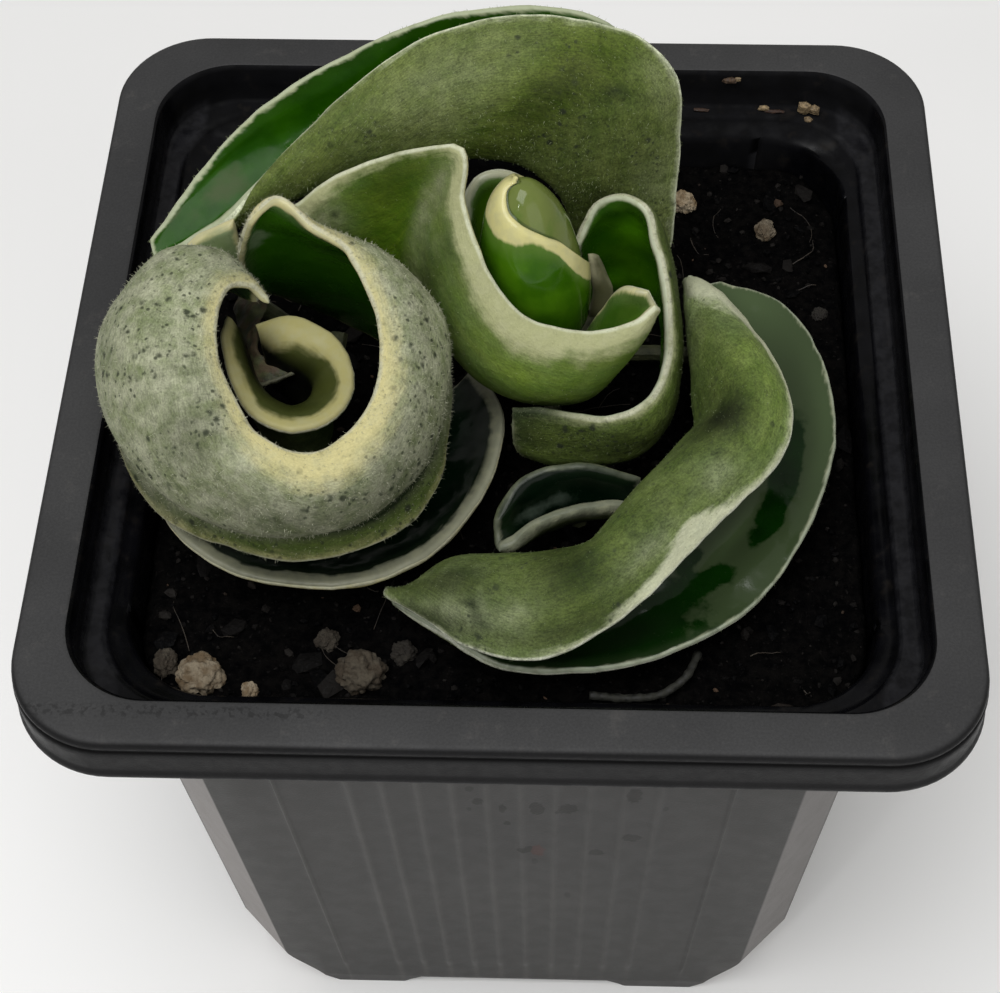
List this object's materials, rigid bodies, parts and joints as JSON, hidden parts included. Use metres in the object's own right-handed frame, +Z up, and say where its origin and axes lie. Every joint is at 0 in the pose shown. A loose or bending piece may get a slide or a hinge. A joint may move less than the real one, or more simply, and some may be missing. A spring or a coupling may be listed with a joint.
{
  "type": "potted hindu rope plant",
  "caption": "Young variegated wax plant with thick leaves that curl and fold on themselves, in a square black nursery pot.",
  "frame": {"origin": "middle of the pot's base, on the surface that the pot stands on", "axes": "+Z up, -Y towards the front of the pot as pictured, +X to its right"},
  "size_m": [0.0904, 0.0904, 0.1182],
  "materials": {
    "pot_plastic": "satin",
    "potting_mix": "matte",
    "perlite": "matte",
    "leaf": "satin",
    "young_leaf": "satin",
    "stem": "matte",
    "dry_scale": "matte"
  },
  "bodies": {
    "root": {"pot": "pot_plastic", "soil": "potting_mix", "perlite_1": "perlite", "perlite_2": "perlite", "perlite_3": "perlite", "perlite_4": "perlite", "perlite_5": "perlite", "perlite_6": "perlite", "perlite_7": "perlite", "perlite_8": "perlite", "perlite_9": "perlite", "left_curl_leaf": "leaf", "saucer_leaf": "leaf", "inner_curl_leaf": "leaf", "top_fold_leaf": "leaf", "cup_leaf": "leaf", "outer_cup_leaf": "leaf", "side_fold_leaf": "leaf", "small_fold_leaf": "leaf", "crest_leaf": "leaf", "bud": "young_leaf", "bud_collar_leaf": "young_leaf", "left_vine": "stem", "right_vine": "stem", "runner": "stem", "bud_scale": "dry_scale"}
  },
  "joints": []
}
